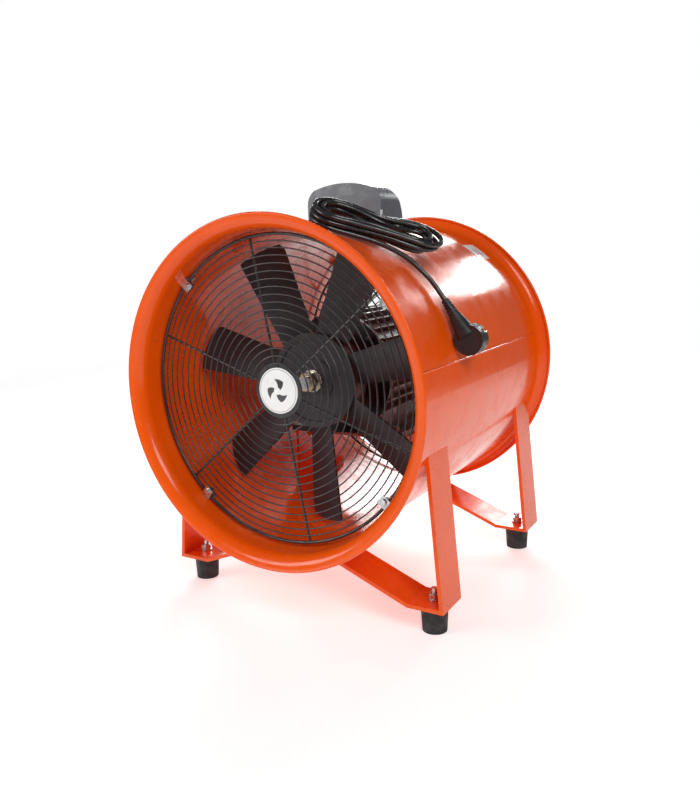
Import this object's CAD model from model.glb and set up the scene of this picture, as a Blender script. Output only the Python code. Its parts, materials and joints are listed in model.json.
import json
import math
from collections import namedtuple

import bmesh
import bpy
from mathutils import Euler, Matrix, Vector


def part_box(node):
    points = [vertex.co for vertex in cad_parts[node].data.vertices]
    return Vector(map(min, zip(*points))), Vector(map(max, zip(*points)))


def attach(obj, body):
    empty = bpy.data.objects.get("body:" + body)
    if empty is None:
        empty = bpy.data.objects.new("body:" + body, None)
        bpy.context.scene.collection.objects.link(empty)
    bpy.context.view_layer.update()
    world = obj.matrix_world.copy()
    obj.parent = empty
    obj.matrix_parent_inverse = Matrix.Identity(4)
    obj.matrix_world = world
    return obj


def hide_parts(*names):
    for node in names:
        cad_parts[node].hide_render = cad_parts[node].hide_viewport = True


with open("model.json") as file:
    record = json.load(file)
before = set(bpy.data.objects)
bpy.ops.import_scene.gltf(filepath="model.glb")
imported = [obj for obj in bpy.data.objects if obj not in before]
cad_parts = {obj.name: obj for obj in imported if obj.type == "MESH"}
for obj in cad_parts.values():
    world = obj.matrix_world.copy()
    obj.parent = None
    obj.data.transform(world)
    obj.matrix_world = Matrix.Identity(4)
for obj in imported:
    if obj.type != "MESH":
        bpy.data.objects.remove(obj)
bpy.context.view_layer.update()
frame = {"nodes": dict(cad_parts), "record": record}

# Looks for a portable axial ventilation fan. Lengths are metres in the part's own frame:
# +Y is the way the air blows, +Z is up, and the origin is on the floor below the drum.
nodes = frame["nodes"]
MM = 0.001


# ---- camera ----

# Where the camera stands, and its turn about the vertical, tilt and roll in radians
CAMERA_PLACE = Vector((0.5767, -0.984, 0.4739))
CAMERA_YAW = -0.5408
CAMERA_PITCH = -0.1269
CAMERA_ROLL = -0.0304
# Lens and sensor in millimetres, and the shift as a share of the sensor
LENS = 35.84
SENSOR = 36
SHIFT = (0.0058, -0.0659)


def make_camera():
    data = bpy.data.cameras.new("camera")
    data.lens = LENS
    data.sensor_width = SENSOR
    data.shift_x, data.shift_y = SHIFT
    look = Vector((
        math.sin(CAMERA_YAW) * math.cos(CAMERA_PITCH),
        math.cos(CAMERA_YAW) * math.cos(CAMERA_PITCH),
        math.sin(CAMERA_PITCH),
    ))
    level = Vector((math.cos(CAMERA_YAW), -math.sin(CAMERA_YAW), 0))
    above = level.cross(look)
    right = math.cos(CAMERA_ROLL) * level + math.sin(CAMERA_ROLL) * above
    up = math.cos(CAMERA_ROLL) * above - math.sin(CAMERA_ROLL) * level
    camera = bpy.data.objects.new("camera", data)
    bpy.context.collection.objects.link(camera)
    for row in range(3):
        camera.matrix_world[row][0] = right[row]
        camera.matrix_world[row][1] = up[row]
        camera.matrix_world[row][2] = -look[row]
        camera.matrix_world[row][3] = CAMERA_PLACE[row]
    bpy.context.scene.camera = camera


# ---- mains cord ----

CORD_D = 6.5 * MM
# Where the cord leaves the gland nut, in metres
# The route's points in millimetres, the same as in the part's source
TAIL_ROUTE = [
    (-66, 15, 504), (-80, 15, 504), (-94, 15, 504), (-107, 12, 501.5), (-118, 3, 496),
    (-125, -11, 489.5), (-126, -27, 483), (-121, -43, 478.5), (-110, -56, 477.5), (-96, -65, 481),
    (-80, -71, 487.5), (-62, -76, 494), (-45, -79, 499), (-28, -83, 502.5), (-12, -90, 505.5),
    (3, -100, 508), (15, -113, 510.5), (24, -129, 512.5),
]
LEAD_ROUTE = [
    (84, -139, 487), (98, -129, 481.5), (111, -119, 475.5), (122, -110, 468.5), (132, -102, 461),
    (141, -96, 453), (149, -91.5, 444.5), (156.5, -88.5, 436.5), (163.6, -87, 428.8),
    (170.3, -87, 420.5), (176, -87, 412.6), (181.6, -87, 404.7),
]
# The hank's middle, its turn, and the straight run between the centres of its folds
HANK_PLACE = Vector((98.5, -103, 495.5))
HANK_TURN = Euler([math.radians(a) for a in (25.5, 17.5, 35)])
HANK_RUN = 110
# One lap: fold radius, height in the hank, how far its right and left folds fall short of the ends,
# and how far its runs are drawn in at the waist
Lap = namedtuple("Lap", "radius height short_right short_left waist")
INNER, OUTER = 20.75, 27.25
LAYER = 7.25
LAPS = [
    Lap(INNER, -LAYER, 9, 3, 9), Lap(INNER, 0, 5, 6, 13), Lap(INNER, LAYER, 8, 4, 7),
    Lap(OUTER, LAYER, 0, 1, 3.5), Lap(OUTER, 0, 3, 0, 6), Lap(OUTER, -LAYER, 1, 0, 2.5),
]
# Where along the last lap's front run the cord leaves the hank
EXIT_RUN = -38
# How far the strands stray sideways and up, and the lengths over which they do
STRAY = (0.5, 0.4)
STRAY_LENGTH = (17, 13)
# Degrees between a fold's points, points in a straight run, and line pieces between two points
FOLD_STEP = 15
RUN_STEPS = 11
SMOOTH_STEPS = 3


def smooth_line(points, steps):
    """A Catmull-Rom curve through points."""
    line = []
    for i in range(len(points) - 1):
        p0, p1 = points[max(i - 1, 0)], points[i]
        p2, p3 = points[i + 1], points[min(i + 2, len(points) - 1)]
        for k in range(steps):
            t = k / steps
            line.append(0.5 * (
                2 * p1 + (p2 - p0) * t + (2 * p0 - 5 * p1 + 4 * p2 - p3) * t * t
                + (3 * p1 - p0 - 3 * p2 + p3) * t ** 3
            ))
    return line + [points[-1]]


def ease(t):
    return t * t * (3 - 2 * t)


def hank_lap(index):
    """One lap in the hank's own plane: half the left fold, the front run, the right fold, the rear run and
    half the next left fold. The rear run moves over to the next lap's place."""
    now = LAPS[index]
    last = index == len(LAPS) - 1
    after = now if last else LAPS[index + 1]
    right = HANK_RUN / 2 - now.short_right
    left = now.short_left - HANK_RUN / 2
    left_after = after.short_left - HANK_RUN / 2
    points = []

    def add(along, across, up, waist):
        span = (along - (left + right) / 2) / (right - left)
        if abs(span) < 0.5:
            across -= math.copysign(waist * math.cos(math.pi * span) ** 2, across)
        across += STRAY[0] * math.sin(along / STRAY_LENGTH[0] + 2.4 * index)
        up += STRAY[1] * math.cos(along / STRAY_LENGTH[1] + index)
        points.append(Vector((along, across, up)))

    def fold(centre, lap, start, sweep):
        for degrees in range(start, start + sweep, FOLD_STEP):
            angle = math.radians(degrees)
            add(centre + lap.radius * math.cos(angle), lap.radius * math.sin(angle), lap.height, now.waist)

    fold(left, now, 180, 90)
    for k in range(RUN_STEPS):
        along = left + (right - left) * k / RUN_STEPS
        if last and along > EXIT_RUN:
            return points
        add(along, -now.radius, now.height, now.waist)
    fold(right, now, -90, 180)
    for k in range(RUN_STEPS):
        t = ease(k / RUN_STEPS)
        along = right + (left_after - right) * k / RUN_STEPS
        radius, height, waist = (
            getattr(now, name) + (getattr(after, name) - getattr(now, name)) * t
            for name in ("radius", "height", "waist")
        )
        add(along, radius, height, waist)
    fold(left_after, after, 90, 90)
    return points


def cord_line():
    points = [Vector(p) for p in TAIL_ROUTE]
    turn = HANK_TURN.to_matrix()
    for index in range(len(LAPS)):
        points += [HANK_PLACE + turn @ p for p in hank_lap(index)]
    points += [Vector(p) for p in LEAD_ROUTE]
    return [MM * p for p in smooth_line(points, SMOOTH_STEPS)]


def make_cord():
    line = cord_line()
    curve = bpy.data.curves.new("mains_cord", "CURVE")
    curve.dimensions = "3D"
    # The points' radii set the cord's size, because a curve's own box grows by them in metres
    curve.bevel_depth = 1
    curve.bevel_resolution = 4
    curve.use_fill_caps = True
    spline = curve.splines.new("POLY")
    spline.points.add(len(line) - 1)
    for point, place in zip(spline.points, line):
        point.co = (*place, 1)
        point.radius = CORD_D / 2
    spline.use_smooth = True
    cord = bpy.data.objects.new("mains_cord", curve)
    bpy.context.collection.objects.link(cord)
    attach(cord, "frame")
    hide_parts("cord_tail", "cord_hank", "cord_lead")
    return cord


make_camera()
cord = make_cord()


# ---- material helpers ----


class Paint:
    """A material under construction: a Principled shader and short calls that add nodes to it."""

    def __init__(self, name, color, roughness, metallic=0.0, **sockets):
        self.material = bpy.data.materials.new(name)
        self.material.use_nodes = True
        self.tree = self.material.node_tree
        self.shader = self.tree.nodes["Principled BSDF"]
        self.coordinates = self.tree.nodes.new("ShaderNodeTexCoord").outputs["Object"]
        self.heights = []
        self.shader.inputs["Base Color"].default_value = (*color, 1)
        self.shader.inputs["Roughness"].default_value = roughness
        self.shader.inputs["Metallic"].default_value = metallic
        for key, value in sockets.items():
            self.shader.inputs[key.replace("_", " ")].default_value = value

    def node(self, kind, **settings):
        node = self.tree.nodes.new(kind)
        for key, value in settings.items():
            setattr(node, key, value)
        return node

    def link(self, output, socket):
        self.tree.links.new(output, socket)

    def noise(self, scale, detail=4.0, stretch=(1, 1, 1), distortion=0.0):
        """A noise factor; scale is in features per metre."""
        mapping = self.node("ShaderNodeMapping")
        mapping.inputs["Scale"].default_value = stretch
        noise = self.node("ShaderNodeTexNoise")
        noise.inputs["Scale"].default_value = scale
        noise.inputs["Detail"].default_value = detail
        noise.inputs["Distortion"].default_value = distortion
        self.link(self.coordinates, mapping.inputs["Vector"])
        self.link(mapping.outputs["Vector"], noise.inputs["Vector"])
        return noise.outputs["Fac"]

    def ramp(self, factor, low, high, from_low=0.4, from_high=0.6):
        """Maps a factor smoothly from one range to another."""
        node = self.node("ShaderNodeMapRange", interpolation_type="SMOOTHSTEP")
        for name, value in (
            ("From Min", from_low), ("From Max", from_high), ("To Min", low), ("To Max", high),
        ):
            node.inputs[name].default_value = value
        self.link(factor, node.inputs["Value"])
        return node.outputs["Result"]

    def math(self, operation, a, b=None):
        node = self.node("ShaderNodeMath", operation=operation)
        for socket, value in zip(node.inputs, (a, b)):
            if isinstance(value, (int, float)):
                socket.default_value = value
            elif value is not None:
                self.link(value, socket)
        return node.outputs["Value"]

    def band(self, factor, low, high, blur):
        """One between low and high, and nought outside them."""
        rise = self.ramp(factor, 0.0, 1.0, low, low + blur)
        fall = self.ramp(factor, 1.0, 0.0, high - blur, high)
        return self.math("MULTIPLY", rise, fall)

    def distance(self, a, b):
        """The distance from the point where both coordinates are nought."""
        squares = self.math("MULTIPLY", a, a), self.math("MULTIPLY", b, b)
        return self.math("SQRT", self.math("ADD", *squares))

    def axis(self, name):
        """One of the coordinates X, Y or Z, in metres."""
        node = self.node("ShaderNodeSeparateXYZ")
        self.link(self.coordinates, node.inputs["Vector"])
        return node.outputs[name]

    def over(self, factor, color):
        """Lays another colour over the present base colour."""
        mix = self.node("ShaderNodeMix", data_type="RGBA")
        socket = self.shader.inputs["Base Color"]
        if socket.is_linked:
            self.link(socket.links[0].from_socket, mix.inputs[6])
        else:
            mix.inputs[6].default_value = socket.default_value
        mix.inputs[7].default_value = (*color, 1)
        self.link(factor, mix.inputs[0])
        self.link(mix.outputs[2], socket)

    def rough(self, factor):
        self.link(factor, self.shader.inputs["Roughness"])

    def bump(self, factor, strength, depth):
        bump = self.node("ShaderNodeBump")
        bump.inputs["Strength"].default_value = strength
        bump.inputs["Distance"].default_value = depth
        self.link(factor, bump.inputs["Height"])
        socket = self.shader.inputs["Normal"]
        if socket.is_linked:
            self.link(socket.links[0].from_socket, bump.inputs["Normal"])
        self.link(bump.outputs["Normal"], socket)


ORANGE = (0.84, 0.088, 0.001)


def orange_paint():
    paint = Paint(
        "orange_paint", ORANGE, 0.24, Coat_Weight=0.22, Coat_Roughness=0.08, Specular_IOR_Level=0.25)
    paint.over(paint.ramp(paint.noise(7, 3), 0.0, 0.35), (0.92, 0.11, 0.002))
    dirt = paint.math("MULTIPLY", paint.ramp(paint.axis("Z"), 0.5, 0.0, 0.0, 0.09), paint.noise(60, 6))
    paint.over(dirt, (0.24, 0.06, 0.015))
    scuffs = paint.ramp(paint.noise(90, 8, (1, 0.25, 1)), 0.0, 0.5, 0.66, 0.74)
    paint.over(scuffs, (0.62, 0.07, 0.01))
    paint.rough(paint.ramp(paint.noise(35, 5), 0.16, 0.28))
    paint.bump(paint.noise(9, 2, (1, 0.2, 1)), 0.25, 0.0016)
    paint.bump(paint.noise(520, 2), 0.12, 0.0002)
    return paint.material


def guard_coating():
    paint = Paint("guard_coating", (0.018, 0.018, 0.02), 0.32, Coat_Weight=0.2)
    paint.over(paint.ramp(paint.noise(45, 5), 0.0, 0.4, 0.5, 0.75), (0.07, 0.062, 0.055))
    paint.rough(paint.ramp(paint.noise(120, 4), 0.26, 0.42))
    paint.bump(paint.noise(900, 3), 0.2, 0.0001)
    return paint.material


def impeller_paint():
    paint = Paint("impeller_paint", (0.03, 0.027, 0.032), 0.42)
    paint.over(paint.ramp(paint.noise(16, 6, distortion=0.6), 0.0, 0.5, 0.45, 0.8), (0.055, 0.05, 0.045))
    paint.over(paint.ramp(paint.noise(240, 5), 0.0, 0.35, 0.58, 0.72), (0.09, 0.085, 0.08))
    paint.rough(paint.ramp(paint.noise(30, 5), 0.34, 0.56))
    paint.bump(paint.noise(420, 4), 0.3, 0.0002)
    return paint.material


def motor_aluminium():
    paint = Paint("motor_aluminium", (0.16, 0.165, 0.175), 0.42, metallic=0.75)
    paint.over(paint.ramp(paint.noise(40, 6), 0.0, 0.6, 0.45, 0.7), (0.07, 0.07, 0.075))
    paint.rough(paint.ramp(paint.noise(140, 5), 0.34, 0.58))
    paint.bump(paint.noise(700, 5), 0.4, 0.0003)
    return paint.material


def shield_iron():
    paint = Paint("shield_iron", (0.02, 0.021, 0.023), 0.5)
    paint.over(paint.ramp(paint.noise(70, 6), 0.0, 0.5, 0.5, 0.75), (0.06, 0.055, 0.05))
    paint.rough(paint.ramp(paint.noise(90, 4), 0.38, 0.6))
    paint.bump(paint.noise(380, 5), 0.5, 0.0004)
    return paint.material


def machined_steel():
    paint = Paint("machined_steel", (0.5, 0.5, 0.51), 0.28, metallic=1.0)
    paint.over(paint.ramp(paint.noise(150, 6), 0.0, 0.4, 0.5, 0.7), (0.3, 0.29, 0.28))
    paint.rough(paint.ramp(paint.noise(60, 5, (1, 12, 1)), 0.2, 0.4))
    paint.bump(paint.noise(300, 3, (1, 10, 1)), 0.15, 0.0001)
    return paint.material


def copper_winding():
    paint = Paint("copper_winding", (0.55, 0.21, 0.07), 0.35, metallic=0.9)
    paint.over(paint.ramp(paint.noise(200, 5), 0.0, 0.6), (0.28, 0.09, 0.03))
    paint.rough(paint.ramp(paint.noise(90, 4), 0.28, 0.45))
    paint.bump(paint.noise(500, 2, (1, 0.1, 1)), 0.8, 0.0006)
    return paint.material


def zinc_plate():
    paint = Paint("zinc_plate", (0.62, 0.63, 0.65), 0.3, metallic=1.0)
    paint.over(paint.ramp(paint.noise(130, 6), 0.0, 0.55, 0.48, 0.7), (0.38, 0.385, 0.4))
    paint.rough(paint.ramp(paint.noise(80, 5), 0.22, 0.45))
    paint.bump(paint.noise(600, 4), 0.25, 0.0001)
    return paint.material


def yellow_zinc():
    paint = Paint("yellow_zinc", (0.6, 0.44, 0.26), 0.28, metallic=1.0)
    paint.over(paint.ramp(paint.noise(90, 4), 0.0, 0.7), (0.6, 0.45, 0.36))
    paint.over(paint.ramp(paint.noise(50, 3), 0.0, 0.5, 0.5, 0.7), (0.5, 0.55, 0.42))
    paint.rough(paint.ramp(paint.noise(160, 5), 0.2, 0.4))
    paint.bump(paint.noise(500, 4), 0.25, 0.0001)
    return paint.material


def foot_rubber():
    paint = Paint("foot_rubber", (0.014, 0.014, 0.015), 0.68)
    paint.over(paint.ramp(paint.noise(55, 6), 0.0, 0.5, 0.5, 0.75), (0.05, 0.047, 0.043))
    paint.rough(paint.ramp(paint.noise(90, 4), 0.55, 0.8))
    paint.bump(paint.noise(650, 4), 0.5, 0.0003)
    return paint.material


# The badge's mark: its lobes' inner and outer radius, their number, and their twist in radians per metre
LOBE_BAND = (0.0046, 0.0152)
LOBES = 3
LOBE_TWIST = -170
BORDER_BAND = (0.0264, 0.0275)


def white_badge():
    """A white disc with a thin grey border and three plain lobes."""
    paint = Paint("white_plastic", (0.86, 0.86, 0.85), 0.3, Coat_Weight=0.3)
    across = paint.axis("X")
    height = paint.math("SUBTRACT", paint.axis("Z"), AXIS_Z)
    distance = paint.distance(across, height)
    turn = paint.math("MULTIPLY", paint.math("ARCTAN2", height, across), LOBES)
    twist = paint.math("MULTIPLY", distance, LOBE_TWIST)
    lobes = paint.ramp(paint.math("SINE", paint.math("ADD", turn, twist)), 0.0, 1.0, 0.1, 0.2)
    paint.over(paint.math("MULTIPLY", lobes, paint.band(distance, *LOBE_BAND, 0.0004)), (0.05, 0.05, 0.055))
    paint.over(paint.band(distance, *BORDER_BAND, 0.0003), (0.3, 0.3, 0.3))
    paint.over(paint.ramp(paint.noise(60, 5), 0.0, 0.3, 0.55, 0.75), (0.66, 0.65, 0.62))
    paint.rough(paint.ramp(paint.noise(90, 4), 0.24, 0.38))
    paint.bump(paint.noise(450, 3), 0.1, 0.0001)
    return paint.material


def box_plastic():
    """Glossy black plastic, with a matt grained right end."""
    paint = Paint("black_plastic", (0.12, 0.13, 0.15), 0.25)
    end = paint.ramp(paint.axis("X"), 0.0, 1.0, BOX_END - 0.0006, BOX_END - 0.0002)
    paint.over(end, (0.1, 0.108, 0.135))
    paint.over(paint.ramp(paint.noise(40, 5), 0.0, 0.25, 0.5, 0.75), (0.07, 0.068, 0.065))
    glossy = paint.ramp(paint.noise(70, 5), 0.2, 0.34)
    paint.rough(paint.math("ADD", glossy, paint.math("MULTIPLY", end, 0.36)))
    graininess = paint.math("ADD", paint.math("MULTIPLY", end, 0.8), 0.12)
    grain = paint.math("MULTIPLY", paint.noise(1400, 3), graininess)
    paint.bump(grain, 0.7, 0.0002)
    return paint.material


def plug_plastic():
    paint = Paint("plug_plastic", (0.02, 0.02, 0.022), 0.4)
    paint.over(paint.ramp(paint.noise(60, 5), 0.0, 0.3, 0.5, 0.75), (0.06, 0.058, 0.055))
    paint.rough(paint.ramp(paint.noise(110, 4), 0.32, 0.5))
    paint.bump(paint.noise(1100, 3), 0.35, 0.00015)
    return paint.material


def red_plastic():
    paint = Paint("red_plastic", (0.6, 0.02, 0.012), 0.28, Coat_Weight=0.3)
    paint.over(paint.ramp(paint.noise(160, 5), 0.0, 0.4), (0.42, 0.012, 0.01))
    paint.rough(paint.ramp(paint.noise(150, 4), 0.22, 0.36))
    paint.bump(paint.noise(900, 3), 0.15, 0.0001)
    return paint.material


def capacitor_can():
    paint = Paint("capacitor_can", (0.72, 0.72, 0.73), 0.35, metallic=0.3)
    paint.over(paint.ramp(paint.noise(90, 5), 0.0, 0.4), (0.5, 0.5, 0.52))
    paint.rough(paint.ramp(paint.noise(120, 4), 0.28, 0.45))
    paint.bump(paint.noise(500, 3), 0.2, 0.0001)
    return paint.material


def label_film():
    """A pale film label with a plain grey block and faint lines."""
    paint = Paint("label_film", (0.8, 0.79, 0.78), 0.3, Coat_Weight=0.2)
    low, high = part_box("rating_label")
    along = paint.ramp(paint.axis("Y"), 0.0, 1.0, low.y, high.y)
    up = paint.ramp(paint.axis("Z"), 0.0, 1.0, low.z, high.z)
    block = paint.math("MULTIPLY", paint.band(along, 0.16, 0.76, 0.02), paint.band(up, 0.2, 0.8, 0.02))
    paint.over(block, (0.36, 0.4, 0.45))
    waves = paint.math("SINE", paint.math("MULTIPLY", up, 60))
    lines = paint.math("MULTIPLY", block, paint.ramp(waves, 0.0, 0.4, 0.55, 0.8))
    paint.over(lines, (0.66, 0.68, 0.7))
    paint.over(paint.ramp(paint.noise(120, 5), 0.0, 0.3, 0.5, 0.75), (0.6, 0.58, 0.55))
    paint.rough(paint.ramp(paint.noise(120, 4), 0.24, 0.4))
    paint.bump(paint.noise(300, 3), 0.1, 0.0001)
    return paint.material


def tie_plastic():
    paint = Paint("tie_plastic", (0.78, 0.78, 0.76), 0.4, Subsurface_Weight=0.1)
    paint.over(paint.ramp(paint.noise(200, 5), 0.0, 0.4), (0.62, 0.61, 0.58))
    paint.rough(paint.ramp(paint.noise(200, 4), 0.34, 0.5))
    paint.bump(paint.noise(900, 3), 0.2, 0.0001)
    return paint.material


def cord_rubber():
    paint = Paint("cord_rubber", (0.014, 0.013, 0.015), 0.26, Coat_Weight=0.25, Coat_Roughness=0.15)
    paint.over(paint.ramp(paint.noise(70, 5), 0.0, 0.4, 0.5, 0.75), (0.045, 0.042, 0.042))
    paint.rough(paint.ramp(paint.noise(130, 5), 0.2, 0.36))
    paint.bump(paint.noise(260, 3), 0.25, 0.0003)
    return paint.material


def pin_nickel():
    paint = Paint("pin_nickel", (0.7, 0.68, 0.62), 0.18, metallic=1.0)
    paint.over(paint.ramp(paint.noise(300, 5), 0.0, 0.4), (0.5, 0.47, 0.42))
    paint.rough(paint.ramp(paint.noise(300, 5, (1, 6, 1)), 0.12, 0.3))
    paint.bump(paint.noise(800, 3), 0.1, 0.0001)
    return paint.material


# ---- materials on the CAD nodes ----

drum_low, drum_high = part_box("drum_casing")
AXIS_Z = (drum_low.z + drum_high.z) / 2
BOX_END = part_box("switch_box_cover")[1].x

MAKERS = {
    "orange_paint": orange_paint, "guard_coating": guard_coating, "impeller_paint": impeller_paint,
    "motor_aluminium": motor_aluminium, "shield_iron": shield_iron, "machined_steel": machined_steel,
    "copper_winding": copper_winding, "zinc_plate": zinc_plate, "yellow_zinc": yellow_zinc,
    "foot_rubber": foot_rubber, "white_plastic": white_badge, "black_plastic": box_plastic,
    "red_plastic": red_plastic, "capacitor_can": capacitor_can, "label_film": label_film,
    "tie_plastic": tie_plastic, "cord_rubber": cord_rubber, "plug_plastic": plug_plastic,
    "pin_nickel": pin_nickel,
}
materials = {slot: make() for slot, make in MAKERS.items()}


def finish_nodes():
    for part in frame["record"]["subparts"]:
        node = nodes[part["node"]]
        node.data.materials.clear()
        node.data.materials.append(materials[part["material_slot"]])
        for face in node.data.polygons:
            face.material_index = 0


finish_nodes()
cord.data.materials.append(materials["cord_rubber"])


# ---- studio ----

FLOOR_HALF = 60
# The floor thins out into the white backdrop between these distances from the fan
FLOOR_FADE = (1.0, 2.6)


def make_floor():
    mesh = bpy.data.meshes.new("floor")
    shape = bmesh.new()
    bmesh.ops.create_grid(shape, x_segments=1, y_segments=1, size=FLOOR_HALF)
    shape.to_mesh(mesh)
    shape.free()
    floor = bpy.data.objects.new("floor", mesh)
    bpy.context.collection.objects.link(floor)
    paint = Paint("floor_paint", (0.93, 0.93, 0.93), 0.7, Emission_Strength=0.4)
    paint.shader.inputs["Emission Color"].default_value = (1, 1, 1, 1)
    paint.over(paint.ramp(paint.noise(2, 3), 0.0, 0.2), (0.9, 0.9, 0.9))
    distance = paint.distance(paint.axis("X"), paint.axis("Y"))
    paint.link(paint.ramp(distance, 1.0, 0.0, *FLOOR_FADE), paint.shader.inputs["Alpha"])
    mesh.materials.append(paint.material)


# Each softbox: place, width, height and power in watts
SOFTBOXES = {
    "key_light": ((1.5, -1.3, 1.6), 1.0, 1.0, 26),
    "rear_light": ((0.4, 2.6, 1.33), 0.8, 0.3, 11),
    "outlet_light": ((-0.9, 1.9, 0.9), 1.2, 0.9, 34),
    "fill_light": ((-1.6, -1.6, 1.0), 1.4, 0.7, 22),
}
# How bright the room round the fan is, next to the white backdrop
ROOM_LIGHT = 0.16


def softbox(name, place, width, height, power):
    data = bpy.data.lights.new(name, "AREA")
    data.shape = "RECTANGLE"
    data.size = width
    data.size_y = height
    data.energy = power
    light = bpy.data.objects.new(name, data)
    bpy.context.collection.objects.link(light)
    light.location = place
    aim = Vector((0, 0, AXIS_Z)) - Vector(place)
    light.rotation_euler = aim.to_track_quat("-Z", "Y").to_euler()
    light.visible_camera = False


def make_world():
    """A dim room round the fan, behind a plain white backdrop."""
    world = bpy.data.worlds.new("studio")
    world.use_nodes = True
    tree = world.node_tree
    room = tree.nodes["Background"]
    room.inputs["Color"].default_value = (1, 1, 1, 1)
    room.inputs["Strength"].default_value = ROOM_LIGHT
    backdrop = tree.nodes.new("ShaderNodeBackground")
    backdrop.inputs["Color"].default_value = (1, 1, 1, 1)
    path = tree.nodes.new("ShaderNodeLightPath")
    mix = tree.nodes.new("ShaderNodeMixShader")
    tree.links.new(path.outputs["Is Camera Ray"], mix.inputs[0])
    tree.links.new(room.outputs[0], mix.inputs[1])
    tree.links.new(backdrop.outputs[0], mix.inputs[2])
    tree.links.new(mix.outputs[0], tree.nodes["World Output"].inputs["Surface"])
    bpy.context.scene.world = world


def make_studio():
    for name, (place, width, height, power) in SOFTBOXES.items():
        softbox(name, place, width, height, power)
    make_world()
    bpy.context.scene.view_settings.view_transform = "Standard"


make_floor()
make_studio()
